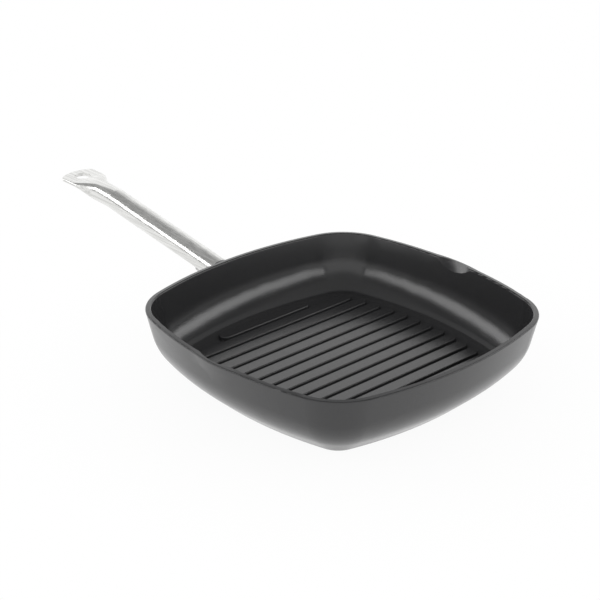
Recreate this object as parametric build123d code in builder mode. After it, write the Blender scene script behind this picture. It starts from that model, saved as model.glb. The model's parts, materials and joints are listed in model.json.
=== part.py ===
"""Square grill pan: cast body with two pour lips, steel base plate and a pressed steel tube handle."""
from build123d import *
from math import asin, atan2, cos, degrees, radians, sin, sqrt, tan
import os

# Millimetres and degrees. The base stands on z = 0, the middle of the base is the origin,
# and the handle points along -X.

# Pan outline, seen from above: four bulged sides joined by round corners
rim_width = 280.0
side_radius = 337.0
corner_radius = 53.0

# Pan section, from the rim down to the base
pan_height = 61.0
wall_draft = 13.0
skirt_slope = 48.0
skirt_height = 22.64
knee_radius = 50.0
base_edge_radius = 3.0
rim_land = 5.0
rim_fall = 0.5
rim_edge_radius = 1.1
rim_inner_radius = 1.9
skirt_thickness = 5.5
cavity_knee_radius = 44.0
gutter_radius = 9.0
floor_height = 14.1
core_margin = 7.0
core_overlap = 1.0

# Grill ribs, standing on the floor and running across the pan
rib_groove = 2.6
rib_height = 2.6
rib_draft = 7.0
rib_edge_radius = 0.9
rib_pairs = 7
rib_field_margin = 6.0
rib_side_margin = 4.32

# Pour lips, one in the middle of each long side of the ribs
lip_length = 42.0
lip_depth = 8.0
lip_land = 2.6
lip_bulge = 1.4
lip_bulge_length = 52.0
lip_bulge_depth = 17.0
lip_bulge_run_in = 8.0

# Handle: a nearly round tube whose far end is pressed flat and bent level
handle_tilt = 8.8
handle_root_drop = 17.1
handle_gap = 15.0
tube_width = 21.4
tube_height = 18.8
tube_wall = 1.5
handle_length = 216.0
paddle_width = 37.0
paddle_thickness = 3.2
paddle_length = 22.0
paddle_rise = 3.6
paddle_tip_radius = 30.0
paddle_corner_radius = 7.0
press_length = 45.0
press_curve = 1.5
press_late_share = 0.5
press_steps = 10
bore_steps = 8
tube_end_share = 0.9
hanging_hole = 15.0
hanging_hole_inset = 14.5

# Cast lug that carries the handle
lug_root_width = 38.0
lug_root_height = 27.0
lug_neck_share = 0.45
lug_neck_growth_share = 0.28
spigot_length = 34.0
spigot_chamfer = 1.2
fit_clearance = 0.08

# Screws that hold the tube on the spigot, with their spring washers
screw_diameter = 5.0
screw_head_diameter = 9.2
screw_head_height = 2.7
screw_head_crown = 1.7
screw_socket = 3.0
socket_sides = 6
screw_socket_depth = 1.5
screw_grip = 9.0
screw_hole_depth = 10.5
screw_count = 2
screw_spacing = 16.0
screw_setback = 9.0
washer_outer = 8.6
washer_thickness = 1.2
washer_split = 0.9
seat_clearance = 0.5
seat_depth = 0.6
hole_clearance = 0.3

# Steel plate let into the underside of the base
plate_margin = 18.0
plate_thickness = 1.4
stud_diameter = 7.0
stud_rings = 3
studs_per_ring = 8
stud_margin = 16.0

overrun = 2.0

# Sizes that follow from the ones above
tube_straight = handle_length - paddle_length - press_length
skirt_run = skirt_height * tan(radians(skirt_slope))
base_inset = skirt_run + (pan_height - skirt_height) * tan(radians(wall_draft))
core_inset = base_inset + core_margin
rib_field_inset = base_inset + rib_field_margin
rib_pitch = (rim_width / 2 - rib_field_inset - rib_side_margin) / (rib_pairs - 0.5)
rib_width = rib_pitch - rib_groove
plate_radius = rim_width / 2 - base_inset - plate_margin
stud_ring_pitch = (plate_radius - stud_margin) / stud_rings


# Outline geometry: the side arcs and the corner arcs keep their centres at every inset
def outline_centres():
    """Distance from the middle to a side arc's centre and to a corner arc's centre on each axis."""
    side_offset = side_radius - rim_width / 2
    reach = side_radius - corner_radius
    corner_offset = (sqrt(2 * reach**2 - side_offset**2) - side_offset) / 2
    return side_offset, corner_offset


def junction_angle():
    """Half the angle that a side arc covers."""
    side_offset, corner_offset = outline_centres()
    return degrees(atan2(corner_offset, corner_offset + side_offset))


def outline_arcs():
    """Centre, radius, start angle and arc angle of the eight arcs, a side and a corner in turn."""
    side_offset, corner_offset = outline_centres()
    half_side = junction_angle()
    arcs = []
    for quarter in range(4):
        turn = Rotation(0, 0, 90 * quarter)
        start = 90 * quarter - half_side
        side_centre = (turn * Pos(-side_offset, 0)).position
        corner_centre = (turn * Pos(corner_offset, corner_offset)).position
        arcs.append((side_centre, side_radius, start, 2 * half_side))
        arcs.append((corner_centre, corner_radius, start + 2 * half_side, 90 - 2 * half_side))
    return arcs


def draw_outline(inset):
    """Eight tangent arcs, a given distance inside the rim's outer edge."""
    for centre, radius, start, turn in outline_arcs():
        CenterArc(centre, radius - inset, start, turn)


def section_plane(centre, radius, start):
    """Upright plane at the start of an arc: local x points outward, local y points up."""
    outward = Vector(cos(radians(start)), sin(radians(start)), 0)
    return Plane(origin=centre + outward * radius, x_dir=outward, z_dir=(outward.Y, -outward.X, 0))


def wall_offset(height, top_offset):
    """Offset of a drafted wall face from the rim's outer edge at a height."""
    return top_offset - (pan_height - height) * tan(radians(wall_draft))


def knee_point(top_offset, foot_offset, foot_height):
    """Where the drafted wall meets the sloping skirt that rises from its foot."""
    wall_slope = tan(radians(wall_draft))
    slope = tan(radians(skirt_slope))
    rise = top_offset - foot_offset + foot_height * slope - pan_height * wall_slope
    height = rise / (slope - wall_slope)
    return (wall_offset(height, top_offset), height)


def rounded_section(plane, points, radii):
    """Face from straight runs, with a radius at each named corner."""
    with BuildSketch(plane) as section:
        with BuildLine():
            Polyline(*points, close=True)
        make_face()
        for point, radius in radii:
            corner = section.vertices().sort_by_distance((*point, 0))[0]
            fillet(corner, radius)
    return section.sketch.face()


def rib_half_length(place):
    """Half the length of the rib that stands at a place along X."""
    side_offset, corner_offset = outline_centres()
    side = side_radius - rib_field_inset
    corner = corner_radius - rib_field_inset
    bend = radians(junction_angle())
    if place < side * sin(bend):
        return sqrt(side**2 - place**2) - side_offset
    if place < corner_offset + corner * cos(bend):
        return corner_offset + sqrt(corner**2 - (place - corner_offset) ** 2)
    return sqrt(side**2 - (place + side_offset) ** 2)


# Handle geometry: planes across the handle's axis, with local y pointing up
tilt = radians(handle_tilt)
handle_direction = Vector(-cos(tilt), 0, sin(tilt))
handle_up = Vector(sin(tilt), 0, cos(tilt))
handle_root = Vector(-rim_width / 2 - handle_gap, 0, pan_height - handle_root_drop)


def handle_plane(distance):
    """Plane across the handle at a length along its axis; the axis bends level over the pressed length."""
    bend_radius = press_length / tilt
    turn = tilt * min(max((distance - tube_straight) / press_length, 0), 1)
    forward = handle_direction * cos(turn) - handle_up * sin(turn)
    origin = handle_root + handle_direction * (min(distance, tube_straight) + bend_radius * sin(turn))
    origin = origin - handle_up * (bend_radius * (1 - cos(turn)))
    return Plane(origin=origin, x_dir=(0, -1, 0), z_dir=forward)


def tube_section(distance, half_width, half_height, end_width, middle=0):
    """Face across the handle, flat above and below, with half an ellipse at either side."""
    flat = half_width - end_width
    with BuildSketch(handle_plane(distance)) as section:
        with BuildLine():
            Line((flat, middle + half_height), (-flat, middle + half_height))
            EllipticalCenterArc((-flat, middle), end_width, half_height, start_angle=90, arc_size=180)
            Line((-flat, middle - half_height), (flat, middle - half_height))
            EllipticalCenterArc((flat, middle), end_width, half_height, start_angle=-90, arc_size=180)
        make_face()
    return section.sketch.face()


def straight_section(distance, inset):
    """Face across the straight length, a distance inside the tube's outer face."""
    half_width = tube_width / 2
    end_width = half_width * tube_end_share - inset
    return tube_section(distance, half_width - inset, tube_height / 2 - inset, end_width)


def blend(start, end, share):
    """Value part of the way from a start to an end."""
    return start + (end - start) * share


def press_section(step, inset):
    """Face across the pressed length: the top sinks evenly, the sides and the bottom follow late."""
    share = step / press_steps
    late = max((share - press_late_share) / (1 - press_late_share), 0)
    late_share = late**2 * (3 - 2 * late)
    top = blend(tube_height / 2, paddle_rise + paddle_thickness / 2, share)
    bottom = blend(-tube_height / 2, paddle_rise - paddle_thickness / 2, late_share)
    half_width = blend(tube_width, paddle_width, late_share) / 2
    end_width = blend(tube_width * tube_end_share, paddle_thickness, share**press_curve) / 2
    half_height = (top - bottom) / 2 - inset
    distance = tube_straight + press_length * share
    return tube_section(distance, half_width - inset, half_height, end_width - inset, (top + bottom) / 2)


def lug_section(distance, growth_share):
    """Face across the lug, grown from the tube's size toward the size at its root."""
    half_width = (tube_width + (lug_root_width - tube_width) * growth_share) / 2
    half_height = (tube_height + (lug_root_height - tube_height) * growth_share) / 2
    return tube_section(distance, half_width, half_height, half_width * tube_end_share)


def screw_plane(index):
    """Plane on the handle's axis at a fixing screw, with local z pointing up."""
    distance = screw_setback + screw_spacing * index
    return Plane(origin=handle_root + handle_direction * distance, x_dir=handle_direction, z_dir=handle_up)


seat_height = -tube_height / 2 + seat_depth
head_height = seat_height - washer_thickness

# Pan body: outer form
skirt_foot = (-base_inset, 0)
outer_knee = knee_point(0, -base_inset, 0)
rim_edge = (0, pan_height - rim_fall)
outer_points = [
    rim_edge,
    outer_knee,
    skirt_foot,
    (-core_inset, 0),
    (-core_inset, pan_height),
    (-rim_land, pan_height),
]
outer_radii = [(rim_edge, rim_edge_radius), (outer_knee, knee_radius), (skirt_foot, base_edge_radius)]

# Pan body: the hollow inside
floor_run = floor_height * tan(radians(skirt_slope))
cavity_foot_offset = floor_run - base_inset - skirt_thickness / cos(radians(skirt_slope))
cavity_foot = (cavity_foot_offset, floor_height)
cavity_knee = knee_point(-rim_land, cavity_foot_offset, floor_height)
cavity_top = pan_height + overrun
cavity_edge = (-rim_land, pan_height)
cavity_points = [
    (overrun, cavity_top),
    (overrun, pan_height),
    cavity_edge,
    cavity_knee,
    cavity_foot,
    (-core_inset, floor_height),
    (-core_inset, cavity_top),
]
cavity_radii = [
    (cavity_edge, rim_inner_radius),
    (cavity_knee, cavity_knee_radius),
    (cavity_foot, gutter_radius),
]

with BuildPart() as cavity:
    for centre, radius, start, turn in outline_arcs():
        section = rounded_section(section_plane(centre, radius, start), cavity_points, cavity_radii)
        revolve(section, axis=Axis(centre, (0, 0, 1)), revolution_arc=turn)
    with BuildSketch(Plane.XY.offset(floor_height)):
        with BuildLine():
            draw_outline(core_inset - core_overlap)
        make_face()
    extrude(amount=cavity_top - floor_height)

# Pour lips: the cone that swells the wall, and the ball that hollows its inner edge
lip_half = lip_length / 2
side_offset_now, _ = outline_centres()
lip_crest = rim_width / 2 + lip_bulge - lip_land
lip_chord = sqrt((side_radius - rim_land) ** 2 - lip_half**2) - side_offset_now
lip_ball_offset = (lip_crest**2 - lip_chord**2 - lip_half**2) / (2 * (lip_crest - lip_chord))
lip_rim_radius = lip_crest - lip_ball_offset
lip_foot = rim_width / 2 + wall_offset(pan_height - lip_depth, -rim_land)
lip_foot_radius = lip_foot - lip_ball_offset
lip_ball_height = (lip_rim_radius**2 - lip_foot_radius**2 - lip_depth**2) / (2 * lip_depth)
lip_ball_radius = sqrt(lip_rim_radius**2 + lip_ball_height**2)
bulge_half = lip_bulge_length / 2
bulge_sagitta = lip_bulge + bulge_half**2 / (2 * side_radius)
bulge_radius = (bulge_half**2 + bulge_sagitta**2) / (2 * bulge_sagitta)
bulge_turn = degrees(2 * asin(bulge_half / bulge_radius))
bulge_slope = lip_bulge / lip_bulge_depth + tan(radians(wall_draft))
bulge_depth = lip_bulge_depth + lip_bulge_run_in
bulge_foot = (-bulge_slope * bulge_depth, pan_height - bulge_depth)
bulge_back = bulge_foot[0] - rim_land
bulge_points = [
    rim_edge,
    bulge_foot,
    (bulge_back, bulge_foot[1]),
    (bulge_back, pan_height),
    (-rim_land - lip_bulge, pan_height),
]

lug_stations = (
    (-handle_gap - rim_land, 1),
    (-handle_gap * lug_neck_share, lug_neck_growth_share),
    (0, 0),
)

with BuildPart() as pan_body:
    for centre, radius, start, turn in outline_arcs():
        section = rounded_section(section_plane(centre, radius, start), outer_points, outer_radii)
        revolve(section, axis=Axis(centre, (0, 0, 1)), revolution_arc=turn)
    with BuildSketch():
        with BuildLine():
            draw_outline(core_inset - core_overlap)
        make_face()
    extrude(amount=pan_height)

    # Outer swell at each pour lip, a cone that runs out into the wall
    for side in (1, -1):
        centre = Vector(0, side * (rim_width / 2 + lip_bulge - bulge_radius), 0)
        start = side * 90 - bulge_turn / 2
        section = rounded_section(
            section_plane(centre, bulge_radius, start), bulge_points, [(rim_edge, rim_edge_radius)]
        )
        revolve(section, axis=Axis(centre, (0, 0, 1)), revolution_arc=bulge_turn)

    # Lug: a flat oval boss that flares into the wall, then the spigot inside the tube
    loft([lug_section(distance, growth_share) for distance, growth_share in lug_stations])
    spigot_inset = tube_wall + fit_clearance
    spigot_end = spigot_length - spigot_chamfer
    extrude(straight_section(-overrun, spigot_inset), amount=spigot_end + overrun, dir=handle_direction)
    spigot_nose = [
        straight_section(spigot_end, spigot_inset),
        straight_section(spigot_length, spigot_inset + spigot_chamfer),
    ]
    loft(spigot_nose)

    add(cavity.part, mode=Mode.SUBTRACT)
    for side in (1, -1):
        with Locations((0, side * lip_ball_offset, pan_height + lip_ball_height)):
            Sphere(lip_ball_radius, mode=Mode.SUBTRACT)

    # Ribs, in pairs either side of the middle groove
    for index in range(rib_pairs):
        place = rib_pitch * (index + 0.5)
        with BuildSketch(Plane.XY.offset(floor_height)):
            with Locations((place, 0), (-place, 0)):
                SlotOverall(2 * rib_half_length(place), rib_width, rotation=90)
        extrude(amount=rib_height, taper=rib_draft)
    rib_top = floor_height + rib_height
    rib_faces = pan_body.faces().filter_by(Axis.Z).filter_by_position(Axis.Z, rib_top, rib_top)
    fillet(rib_faces.edges(), rib_edge_radius)

    # Recess for the base plate, with the cast studs that fill the plate's holes
    with BuildSketch():
        Circle(plate_radius + fit_clearance)
        for ring in range(stud_rings):
            with PolarLocations(stud_ring_pitch * (ring + 1), studs_per_ring * (ring + 1)):
                Circle(stud_diameter / 2 - fit_clearance, mode=Mode.SUBTRACT)
    extrude(amount=plate_thickness, mode=Mode.SUBTRACT)

    # Tapped holes for the handle screws
    for index in range(screw_count):
        with BuildSketch(screw_plane(index).offset(-tube_height / 2)):
            Circle(screw_diameter / 2 + fit_clearance)
        extrude(amount=screw_hole_depth + tube_wall, mode=Mode.SUBTRACT)

# Base plate
with BuildPart() as base_plate:
    with BuildSketch():
        Circle(plate_radius)
        for ring in range(stud_rings):
            with PolarLocations(stud_ring_pitch * (ring + 1), studs_per_ring * (ring + 1)):
                Circle(stud_diameter / 2, mode=Mode.SUBTRACT)
    extrude(amount=plate_thickness)

# Handle tube: nearly round by the pan, then pressed flat and bent level
with BuildPart() as handle_bore:
    extrude(straight_section(-overrun, tube_wall), amount=tube_straight + overrun, dir=handle_direction)
    loft([press_section(step, tube_wall) for step in range(bore_steps + 1)])

paddle_start = handle_plane(handle_length - paddle_length)
paddle_middle = paddle_start.origin + paddle_start.y_dir * paddle_rise
paddle_plane = Plane(origin=paddle_middle, x_dir=paddle_start.z_dir, z_dir=paddle_start.y_dir)
tip_width = paddle_width + 2 * fit_clearance
tip_shape = Rot(0, 0, 180) * Circle(paddle_tip_radius) & Rectangle(2 * paddle_tip_radius, tip_width)
tip_shape = fillet(tip_shape.vertices().group_by(Axis.X)[-1], paddle_corner_radius)
waste_shape = Pos(paddle_tip_radius, 0) * Rectangle(2 * paddle_tip_radius, paddle_width + 2 * overrun)
waste_shape = Pos(paddle_length - paddle_tip_radius, 0) * (waste_shape - tip_shape)

with BuildPart() as paddle:
    extrude(press_section(press_steps, 0), amount=paddle_length + overrun, dir=paddle_start.z_dir)

    # Rounded tip: what lies beyond the arc and its two soft corners is cut away
    extrude(paddle_plane * waste_shape, amount=paddle_thickness, both=True, mode=Mode.SUBTRACT)

    # Hanging hole
    with BuildSketch(paddle_plane):
        with Locations((paddle_length - hanging_hole_inset, 0)):
            Circle(hanging_hole / 2)
    extrude(amount=paddle_thickness, both=True, mode=Mode.SUBTRACT)

with BuildPart() as handle:
    extrude(straight_section(0, 0), amount=tube_straight, dir=handle_direction)
    loft([press_section(step, 0) for step in range(press_steps + 1)])
    add(paddle.part)
    add(handle_bore.part, mode=Mode.SUBTRACT)

    # Seats and holes for the screws in the tube's underside
    for index in range(screw_count):
        with BuildSketch(screw_plane(index).offset(seat_height)):
            Circle(screw_head_diameter / 2 + seat_clearance)
        extrude(amount=-seat_depth - overrun, mode=Mode.SUBTRACT)
        with BuildSketch(screw_plane(index).offset(seat_height)):
            Circle(screw_diameter / 2 + hole_clearance)
        extrude(amount=tube_wall, mode=Mode.SUBTRACT)

# Handle screws: round heads with a hexagon socket
with BuildPart() as handle_screws:
    for index in range(screw_count):
        with BuildSketch(screw_plane(index).offset(head_height)):
            Circle(screw_diameter / 2)
        extrude(amount=screw_grip + washer_thickness)
        with BuildSketch(screw_plane(index).offset(head_height)):
            Circle(screw_head_diameter / 2)
        extrude(amount=-screw_head_height)
    head_rims = handle_screws.edges().filter_by(GeomType.CIRCLE).group_by(Axis((0, 0, 0), handle_up))
    fillet(head_rims[0], screw_head_crown)
    for index in range(screw_count):
        with BuildSketch(screw_plane(index).offset(head_height - screw_head_height)):
            RegularPolygon(screw_socket / 2, socket_sides, major_radius=False)
        extrude(amount=screw_socket_depth, mode=Mode.SUBTRACT)

# Spring washers: split rings under the screw heads
with BuildPart() as spring_washers:
    for index in range(screw_count):
        with BuildSketch(screw_plane(index).offset(head_height)):
            Circle(washer_outer / 2)
            Circle(screw_diameter / 2 + fit_clearance, mode=Mode.SUBTRACT)
            with Locations((0, washer_outer / 2)):
                Rectangle(washer_split, washer_outer, mode=Mode.SUBTRACT)
        extrude(amount=washer_thickness)

pieces = {
    "pan_body": pan_body,
    "base_plate": base_plate,
    "handle": handle,
    "handle_screws": handle_screws,
    "spring_washers": spring_washers,
}
os.makedirs("parts", exist_ok=True)
for name, piece in pieces.items():
    piece.part.label = name
    export_step(piece.part, f"parts/{name}.step")
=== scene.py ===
"""Square grill pan in a white studio: materials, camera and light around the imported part."""
import json
from math import atan2, cos, radians, sin

import bpy
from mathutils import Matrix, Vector

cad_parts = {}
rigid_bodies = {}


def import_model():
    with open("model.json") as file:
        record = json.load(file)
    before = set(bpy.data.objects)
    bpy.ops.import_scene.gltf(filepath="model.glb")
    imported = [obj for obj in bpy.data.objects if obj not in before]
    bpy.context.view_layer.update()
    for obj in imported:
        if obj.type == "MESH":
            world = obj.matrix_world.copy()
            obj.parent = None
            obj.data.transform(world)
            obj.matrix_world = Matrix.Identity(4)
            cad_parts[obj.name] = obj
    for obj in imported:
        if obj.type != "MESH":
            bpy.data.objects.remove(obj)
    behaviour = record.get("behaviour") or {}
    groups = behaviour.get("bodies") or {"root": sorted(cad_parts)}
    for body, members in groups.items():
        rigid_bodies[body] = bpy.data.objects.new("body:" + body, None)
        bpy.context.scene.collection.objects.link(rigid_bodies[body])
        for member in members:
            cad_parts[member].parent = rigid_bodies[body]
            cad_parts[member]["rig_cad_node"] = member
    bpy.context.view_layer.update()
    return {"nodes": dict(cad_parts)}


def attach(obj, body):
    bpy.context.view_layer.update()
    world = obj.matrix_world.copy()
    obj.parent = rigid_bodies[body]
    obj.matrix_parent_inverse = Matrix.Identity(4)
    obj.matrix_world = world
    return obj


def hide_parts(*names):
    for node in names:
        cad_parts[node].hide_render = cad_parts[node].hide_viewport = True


# Metres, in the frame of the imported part: the base stands on z = 0 and the handle points along -X
MM = 0.001
HANDLE_TILT = radians(8.8)

# Copies of the CAD nodes: the distance under which corners are one, the sharpest angle that is
# still shaded as round, and how far the large flat faces lead the shading
MERGE_DISTANCE = 0.002 * MM
SMOOTH_ANGLE = radians(24)
NORMAL_WEIGHT = 90

# The range in which nearly all the values of a noise lie
NOISE_SPREAD = {"From Min": 0.3, "From Max": 0.7}

# Sprayed non-stick coat: width of the orange peel's bumps, and of the grains, which are drawn
# coarser than the usual 0.1 mm so that they show
PEEL_WIDTH = 1.6 * MM
GRAIN_WIDTH = 0.35 * MM
GRAIN_SHARE = 0.4
COAT_DARK = "#29292a"
COAT_LIGHT = "#323233"
COAT_ROUGHNESS = (0.19, 0.24)
COAT_IOR = 1.52
COAT_RELIEF = 0.05 * MM

# Rubbed handle steel: length and width of the fine rubbing lines, which are drawn wider than the
# usual 0.05 mm so that they show, and of the broad streaks
LINE_LENGTH = 14 * MM
LINE_WIDTH = 0.22 * MM
STREAK_LENGTH = 90 * MM
STREAK_WIDTH = 1.5 * MM
STREAK_SPREAD = {"From Min": 0.35, "From Max": 0.65}
STREAK_DARK = "#c2c2c0"
STREAK_LIGHT = "#dededc"
HANDLE_ROUGHNESS = (0.20, 0.28)
LINE_RELIEF = 0.01 * MM

# Skimmed base steel: width of the tool's rings, drawn wider than the usual 0.2 mm so that they show
RING_WIDTH = 0.5 * MM
RING_RELIEF = 0.01 * MM
BASE_COLOUR = "#bdbcba"
BASE_ROUGHNESS = 0.34

# Tumbled fasteners: width of the dents of tumbling
MOTTLE_WIDTH = 0.8 * MM
FASTENER_COLOUR = "#b8b8b7"
FASTENER_ROUGHNESS = (0.25, 0.4)

# Studio paper: it burns out to white between these distances from the middle of the pan
FIBRE_WIDTH = 3 * MM
FIBRE_RELIEF = 0.02 * MM
PAPER_COLOUR = "#f6f6f6"
PAPER_ROUGHNESS = 0.9
BURN_NEAR = 0.05
BURN_FAR = 0.32
BURN_SHARE = (0.93, 1.0)
MIRRORED_PAPER = 1.15
FLOOR_SIZE = 12.0
FLOOR_DROP = 0.1 * MM

# Soft boxes: two wide, low ones, on the left and the right of the pan as the camera sees it
BOX_DISTANCE = 1.6
BOX_WIDTH = 1.7
BOX_HEIGHT = 0.42
BOX_POWER = 8.5
LEFT_BOX = Vector((-0.64, -0.60, 0.43)).normalized()
RIGHT_BOX = Vector((0.63, 0.61, 0.45)).normalized()

# World: a bright backdrop up to these heights, a dim ceiling above it, and a dark flag round each
# box, all given on the unit sphere of directions
WHITE = "#ffffff"
CAMERA_WHITE = 1.0
BACKDROP_STRENGTH = 1.25
CEILING_STRENGTH = 0.46
BACKDROP_TOP = (0.50, 0.66)
FLAG_STRENGTH = 0.04
FLAG_REACH = (0.29, 0.33)
FLAG_NARROWING = 0.35

# Camera, as recovered from the rim and the ribs in the photo
CAMERA_TARGET = Vector((-34.2, -14.7, 61.0)) * MM
CAMERA_DISTANCE = 1461.4 * MM
CAMERA_AZIMUTH = radians(47.41)
CAMERA_ELEVATION = radians(25.25)
CAMERA_LENS = 106.2
SENSOR_WIDTH = 36.0

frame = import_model()


# Colour and node helpers
def srgb(code):
    """Linear colour from an sRGB hex code."""
    channels = [int(code[start:start + 2], 16) / 255 for start in (1, 3, 5)]
    linear = [c / 12.92 if c <= 0.04045 else ((c + 0.055) / 1.055) ** 2.4 for c in channels]
    return (*linear, 1.0)


def add_node(tree, kind, inputs=None, **settings):
    """A node with its settings made, each input given a value or linked from a socket."""
    made = tree.nodes.new(kind)
    for name, value in settings.items():
        setattr(made, name, value)
    for name, value in (inputs or {}).items():
        if isinstance(value, bpy.types.NodeSocket):
            tree.links.new(value, made.inputs[name])
        else:
            made.inputs[name].default_value = value
    return made


def new_material(name):
    """A material with an empty node tree, and the tree."""
    material = bpy.data.materials.new(name)
    material.use_nodes = True
    material.node_tree.nodes.clear()
    return material, material.node_tree


def finish_material(tree, surface):
    """Links a surface to the material's output."""
    add_node(tree, "ShaderNodeOutputMaterial", {"Surface": surface})


# Materials
def nonstick_coating():
    """Sprayed dark grey non-stick coat over a cast surface: fine orange peel and a soft sheen."""
    material, tree = new_material("sprayed_nonstick_coating")
    place = add_node(tree, "ShaderNodeTexCoord").outputs["Object"]
    peel = add_node(tree, "ShaderNodeTexNoise", {
        "Vector": place, "Scale": 1 / PEEL_WIDTH, "Detail": 2.0, "Roughness": 0.5,
    }).outputs["Fac"]
    grain = add_node(tree, "ShaderNodeTexNoise", {
        "Vector": place, "Scale": 1 / GRAIN_WIDTH, "Detail": 1.0, "Roughness": 0.6,
    }).outputs["Fac"]
    tone = add_node(tree, "ShaderNodeMapRange", {"Value": grain, **NOISE_SPREAD}).outputs["Result"]
    colour = add_node(tree, "ShaderNodeMix", {
        "Factor": tone, "A": srgb(COAT_DARK), "B": srgb(COAT_LIGHT),
    }, data_type="RGBA").outputs[2]
    sheen = add_node(tree, "ShaderNodeMapRange", {
        "Value": peel, **NOISE_SPREAD, "To Min": COAT_ROUGHNESS[0], "To Max": COAT_ROUGHNESS[1],
    }).outputs["Result"]
    relief = add_node(tree, "ShaderNodeMix", {
        "Factor": GRAIN_SHARE, "A": peel, "B": grain,
    }, data_type="FLOAT").outputs["Result"]
    bump = add_node(tree, "ShaderNodeBump", {
        "Height": relief, "Strength": 0.35, "Distance": COAT_RELIEF,
    }).outputs["Normal"]
    shader = add_node(tree, "ShaderNodeBsdfPrincipled", {
        "Base Color": colour, "Roughness": sheen, "IOR": COAT_IOR, "Normal": bump,
    })
    finish_material(tree, shader.outputs["BSDF"])
    return material


def satin_handle_steel():
    """Pressed stainless tube, rubbed lengthwise: fine lines and soft streaks in the highlights.

    The scale acts before the turn, so both run level, a few degrees off the tilted tube.
    """
    material, tree = new_material("satin_rubbed_stainless_steel")
    place = add_node(tree, "ShaderNodeTexCoord").outputs["Object"]
    along = add_node(tree, "ShaderNodeMapping", {
        "Vector": place,
        "Rotation": (0, -HANDLE_TILT, 0),
        "Scale": (1 / LINE_LENGTH, 1 / LINE_WIDTH, 1 / LINE_WIDTH),
    }).outputs["Vector"]
    lines = add_node(tree, "ShaderNodeTexNoise", {
        "Vector": along, "Scale": 1.0, "Detail": 2.0, "Roughness": 0.6,
    }).outputs["Fac"]
    roughness = add_node(tree, "ShaderNodeMapRange", {
        "Value": lines, **NOISE_SPREAD, "To Min": HANDLE_ROUGHNESS[0], "To Max": HANDLE_ROUGHNESS[1],
    }).outputs["Result"]
    broad = add_node(tree, "ShaderNodeMapping", {
        "Vector": place,
        "Rotation": (0, -HANDLE_TILT, 0),
        "Scale": (1 / STREAK_LENGTH, 1 / STREAK_WIDTH, 1 / STREAK_WIDTH),
    }).outputs["Vector"]
    streaks = add_node(tree, "ShaderNodeTexNoise", {
        "Vector": broad, "Scale": 1.0, "Detail": 2.0, "Roughness": 0.6,
    }).outputs["Fac"]
    tone = add_node(tree, "ShaderNodeMapRange", {"Value": streaks, **STREAK_SPREAD}).outputs["Result"]
    colour = add_node(tree, "ShaderNodeMix", {
        "Factor": tone, "A": srgb(STREAK_DARK), "B": srgb(STREAK_LIGHT),
    }, data_type="RGBA").outputs[2]
    bump = add_node(tree, "ShaderNodeBump", {
        "Height": lines, "Strength": 0.25, "Distance": LINE_RELIEF,
    }).outputs["Normal"]
    shader = add_node(tree, "ShaderNodeBsdfPrincipled", {
        "Base Color": colour, "Metallic": 1.0, "Roughness": roughness, "Normal": bump,
    })
    finish_material(tree, shader.outputs["BSDF"])
    return material


def skimmed_base_steel():
    """Steel disc skimmed on a lathe: fine rings round the middle of the base."""
    material, tree = new_material("lathe_skimmed_base_steel")
    place = add_node(tree, "ShaderNodeTexCoord").outputs["Object"]
    distance = add_node(tree, "ShaderNodeVectorMath", {0: place}, operation="LENGTH").outputs["Value"]
    rings = add_node(tree, "ShaderNodeTexNoise", {
        "W": distance, "Scale": 1 / RING_WIDTH, "Detail": 2.0,
    }, noise_dimensions="1D").outputs["Fac"]
    bump = add_node(tree, "ShaderNodeBump", {
        "Height": rings, "Strength": 0.4, "Distance": RING_RELIEF,
    }).outputs["Normal"]
    shader = add_node(tree, "ShaderNodeBsdfPrincipled", {
        "Base Color": srgb(BASE_COLOUR), "Metallic": 1.0, "Roughness": BASE_ROUGHNESS, "Normal": bump,
    })
    finish_material(tree, shader.outputs["BSDF"])
    return material


def tumbled_fastener_steel():
    """Plain stainless fasteners, tumbled in bulk: a faint mottle in the sheen."""
    material, tree = new_material("tumbled_fastener_steel")
    place = add_node(tree, "ShaderNodeTexCoord").outputs["Object"]
    mottle = add_node(tree, "ShaderNodeTexNoise", {
        "Vector": place, "Scale": 1 / MOTTLE_WIDTH, "Detail": 2.0,
    }).outputs["Fac"]
    roughness = add_node(tree, "ShaderNodeMapRange", {
        "Value": mottle, **NOISE_SPREAD, "To Min": FASTENER_ROUGHNESS[0], "To Max": FASTENER_ROUGHNESS[1],
    }).outputs["Result"]
    shader = add_node(tree, "ShaderNodeBsdfPrincipled", {
        "Base Color": srgb(FASTENER_COLOUR), "Metallic": 1.0, "Roughness": roughness,
    })
    finish_material(tree, shader.outputs["BSDF"])
    return material


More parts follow.
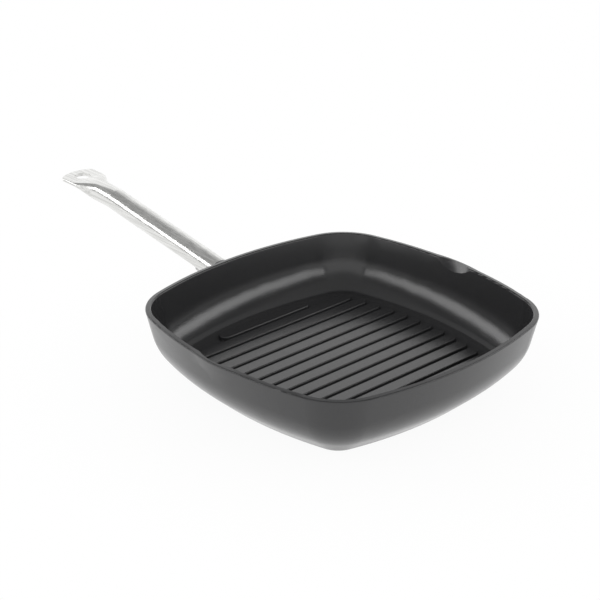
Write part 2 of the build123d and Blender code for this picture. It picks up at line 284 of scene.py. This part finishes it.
def studio_paper():
    """Matt white paper: it shows the pan's shadow, and is burnt out to plain white away from it."""
    material, tree = new_material("matt_studio_paper")
    place = add_node(tree, "ShaderNodeTexCoord").outputs["Object"]
    fibre = add_node(tree, "ShaderNodeTexNoise", {
        "Vector": place, "Scale": 1 / FIBRE_WIDTH, "Detail": 3.0,
    }).outputs["Fac"]
    bump = add_node(tree, "ShaderNodeBump", {
        "Height": fibre, "Strength": 0.05, "Distance": FIBRE_RELIEF,
    }).outputs["Normal"]
    paper = add_node(tree, "ShaderNodeBsdfPrincipled", {
        "Base Color": srgb(PAPER_COLOUR), "Roughness": PAPER_ROUGHNESS, "Normal": bump,
    }).outputs["BSDF"]
    distance = add_node(tree, "ShaderNodeVectorMath", {0: place}, operation="LENGTH").outputs["Value"]
    burn = add_node(tree, "ShaderNodeMapRange", {
        "Value": distance,
        "From Min": BURN_NEAR,
        "From Max": BURN_FAR,
        "To Min": BURN_SHARE[0],
        "To Max": BURN_SHARE[1],
    }, interpolation_type="SMOOTHSTEP").outputs["Result"]

    # Only the camera and reflections see the white: it adds no light to the pan's own colours
    rays = add_node(tree, "ShaderNodeLightPath").outputs
    seen = add_node(tree, "ShaderNodeMath", {
        0: rays["Is Camera Ray"], 1: rays["Is Glossy Ray"],
    }, operation="MAXIMUM").outputs["Value"]
    amount = add_node(tree, "ShaderNodeMath", {0: burn, 1: seen}, operation="MULTIPLY").outputs["Value"]
    glow = add_node(tree, "ShaderNodeMapRange", {
        "Value": rays["Is Glossy Ray"], "To Min": 1.0, "To Max": MIRRORED_PAPER,
    }).outputs["Result"]
    white = add_node(tree, "ShaderNodeEmission", {
        "Color": srgb(WHITE), "Strength": glow,
    }).outputs["Emission"]
    mixed = add_node(tree, "ShaderNodeMixShader", {0: amount, 1: paper, 2: white}).outputs["Shader"]
    finish_material(tree, mixed)
    return material


# Pieces
def smooth_piece(node, name, material):
    """A copy of a CAD node, shown in its place: triangles merged and round faces shaded smooth."""
    bpy.ops.object.select_all(action="DESELECT")
    source = frame["nodes"][node]
    source.select_set(True)
    bpy.context.view_layer.objects.active = source
    bpy.ops.object.duplicate()
    piece = bpy.context.active_object
    piece.name = name
    piece.data.name = name
    del piece["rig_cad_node"]
    bpy.ops.object.mode_set(mode="EDIT")
    bpy.ops.mesh.select_all(action="SELECT")
    bpy.ops.mesh.remove_doubles(threshold=MERGE_DISTANCE)
    bpy.ops.mesh.normals_make_consistent(inside=False)
    bpy.ops.object.mode_set(mode="OBJECT")
    if piece.data.has_custom_normals:
        bpy.ops.mesh.customdata_custom_splitnormals_clear()
    bpy.ops.object.shade_smooth_by_angle(angle=SMOOTH_ANGLE)
    bpy.ops.object.modifier_add(type="WEIGHTED_NORMAL")
    flat_faces_first = piece.modifiers[-1]
    flat_faces_first.weight = NORMAL_WEIGHT
    flat_faces_first.keep_sharp = True
    bpy.ops.object.modifier_apply(modifier=flat_faces_first.name)
    piece.data.materials.clear()
    piece.data.materials.append(material)
    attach(piece, "root")
    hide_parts(node)


fastener_steel = tumbled_fastener_steel()
smooth_piece("pan_body", "pan_body_casting", nonstick_coating())
smooth_piece("handle", "handle_tube", satin_handle_steel())
smooth_piece("base_plate", "base_plate_disc", skimmed_base_steel())
smooth_piece("handle_screws", "handle_screw_pair", fastener_steel)
smooth_piece("spring_washers", "spring_washer_pair", fastener_steel)

# Floor, a hair under the base so that the two faces don't fight
bpy.ops.mesh.primitive_plane_add(size=FLOOR_SIZE, location=(0, 0, -FLOOR_DROP))
floor = bpy.context.active_object
floor.name = "studio_floor"
floor.data.materials.append(studio_paper())


# Lights
def soft_box(name, aim):
    """A wide, low soft light that faces the pan from a direction."""
    light = bpy.data.lights.new(name, "AREA")
    light.shape = "RECTANGLE"
    light.size = BOX_WIDTH
    light.size_y = BOX_HEIGHT
    light.energy = BOX_POWER
    lamp = bpy.data.objects.new(name, light)
    bpy.context.scene.collection.objects.link(lamp)
    lamp.location = aim * BOX_DISTANCE
    lamp.rotation_euler = aim.to_track_quat("Z", "Y").to_euler()


soft_box("left_soft_box", LEFT_BOX)
soft_box("right_soft_box", RIGHT_BOX)

# World
world = bpy.data.worlds.new("white_studio")
bpy.context.scene.world = world
world.use_nodes = True
sky = world.node_tree
sky.nodes.clear()
direction = add_node(sky, "ShaderNodeTexCoord").outputs["Generated"]
height = add_node(sky, "ShaderNodeSeparateXYZ", {"Vector": direction}).outputs["Z"]
surround = add_node(sky, "ShaderNodeMapRange", {
    "Value": height,
    "From Min": BACKDROP_TOP[0],
    "From Max": BACKDROP_TOP[1],
    "To Min": BACKDROP_STRENGTH,
    "To Max": CEILING_STRENGTH,
}, interpolation_type="SMOOTHSTEP").outputs["Result"]

# Dark flags round the soft boxes keep their edges crisp in the metal
for box in (LEFT_BOX, RIGHT_BOX):
    turned = add_node(sky, "ShaderNodeMapping", {
        "Vector": direction, "Rotation": (0, 0, -atan2(box.y, box.x)),
    }).outputs["Vector"]
    narrowed = add_node(sky, "ShaderNodeVectorMath", {
        0: turned, 1: (1, FLAG_NARROWING, 1),
    }, operation="MULTIPLY").outputs["Vector"]
    offset = add_node(sky, "ShaderNodeVectorMath", {
        0: narrowed, 1: (box.xy.length, 0, box.z),
    }, operation="DISTANCE").outputs["Value"]
    flag = add_node(sky, "ShaderNodeMapRange", {
        "Value": offset,
        "From Min": FLAG_REACH[0],
        "From Max": FLAG_REACH[1],
        "To Min": 1.0,
        "To Max": 0.0,
    }).outputs["Result"]
    surround = add_node(sky, "ShaderNodeMix", {
        "Factor": flag, "A": surround, "B": FLAG_STRENGTH,
    }, data_type="FLOAT").outputs["Result"]

# The camera itself sees plain white
rays = add_node(sky, "ShaderNodeLightPath").outputs
strength = add_node(sky, "ShaderNodeMix", {
    "Factor": rays["Is Camera Ray"], "A": surround, "B": CAMERA_WHITE,
}, data_type="FLOAT").outputs["Result"]
background = add_node(sky, "ShaderNodeBackground", {"Color": srgb(WHITE), "Strength": strength})
add_node(sky, "ShaderNodeOutputWorld", {"Surface": background.outputs["Background"]})

# Camera
camera_data = bpy.data.cameras.new("photo_camera")
camera_data.lens = CAMERA_LENS
camera_data.sensor_width = SENSOR_WIDTH
camera = bpy.data.objects.new("photo_camera", camera_data)
bpy.context.scene.collection.objects.link(camera)
toward_camera = Vector((
    sin(CAMERA_AZIMUTH) * cos(CAMERA_ELEVATION),
    -cos(CAMERA_AZIMUTH) * cos(CAMERA_ELEVATION),
    sin(CAMERA_ELEVATION),
))
camera.location = CAMERA_TARGET + toward_camera * CAMERA_DISTANCE
camera.rotation_euler = toward_camera.to_track_quat("Z", "Y").to_euler()
scene = bpy.context.scene
scene.camera = camera
scene.view_settings.view_transform = "Standard"
